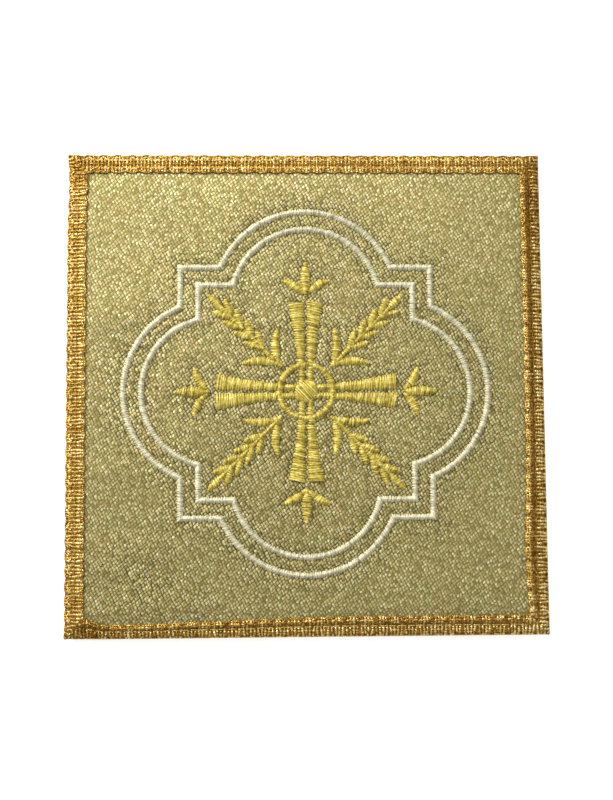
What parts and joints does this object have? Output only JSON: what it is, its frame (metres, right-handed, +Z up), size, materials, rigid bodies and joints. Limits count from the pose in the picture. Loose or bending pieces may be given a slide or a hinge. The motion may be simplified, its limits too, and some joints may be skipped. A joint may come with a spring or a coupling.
{
  "type": "chalice pall",
  "caption": "Stiffened square of gold metallic cloth with a scalloped gold braid round its edge and raised satin-stitch ornament on its face, lying flat with its face up.",
  "frame": {"origin": "middle of the flat underside, at the height of the surface that the pall lies on", "axes": "+Z up out of the embroidered face, +Y towards the top of the design, +X to its right"},
  "size_m": [0.16, 0.162, 0.0054],
  "materials": {
    "gold_cloth": "pale gold metallic twill whose short flat floats glint one by one",
    "gold_braid": "deep gold ribbed metallic braid with scalloped edges",
    "white_thread": "cream white rayon thread in satin stitch with a soft sheen",
    "gold_thread": "bright yellow gold rayon thread in satin stitch with a strong sheen"
  },
  "bodies": {
    "root": {"pall_cloth": "gold_cloth", "edge_braid": "gold_braid", "white_line_outer": "white_thread", "white_line_inner": "white_thread", "gold_cross": "gold_thread", "gold_bud_0": "gold_thread", "gold_bud_1": "gold_thread", "gold_bud_2": "gold_thread", "gold_bud_3": "gold_thread", "gold_ear_0": "gold_thread", "gold_ear_1": "gold_thread", "gold_ear_2": "gold_thread", "gold_ear_3": "gold_thread"}
  },
  "joints": []
}
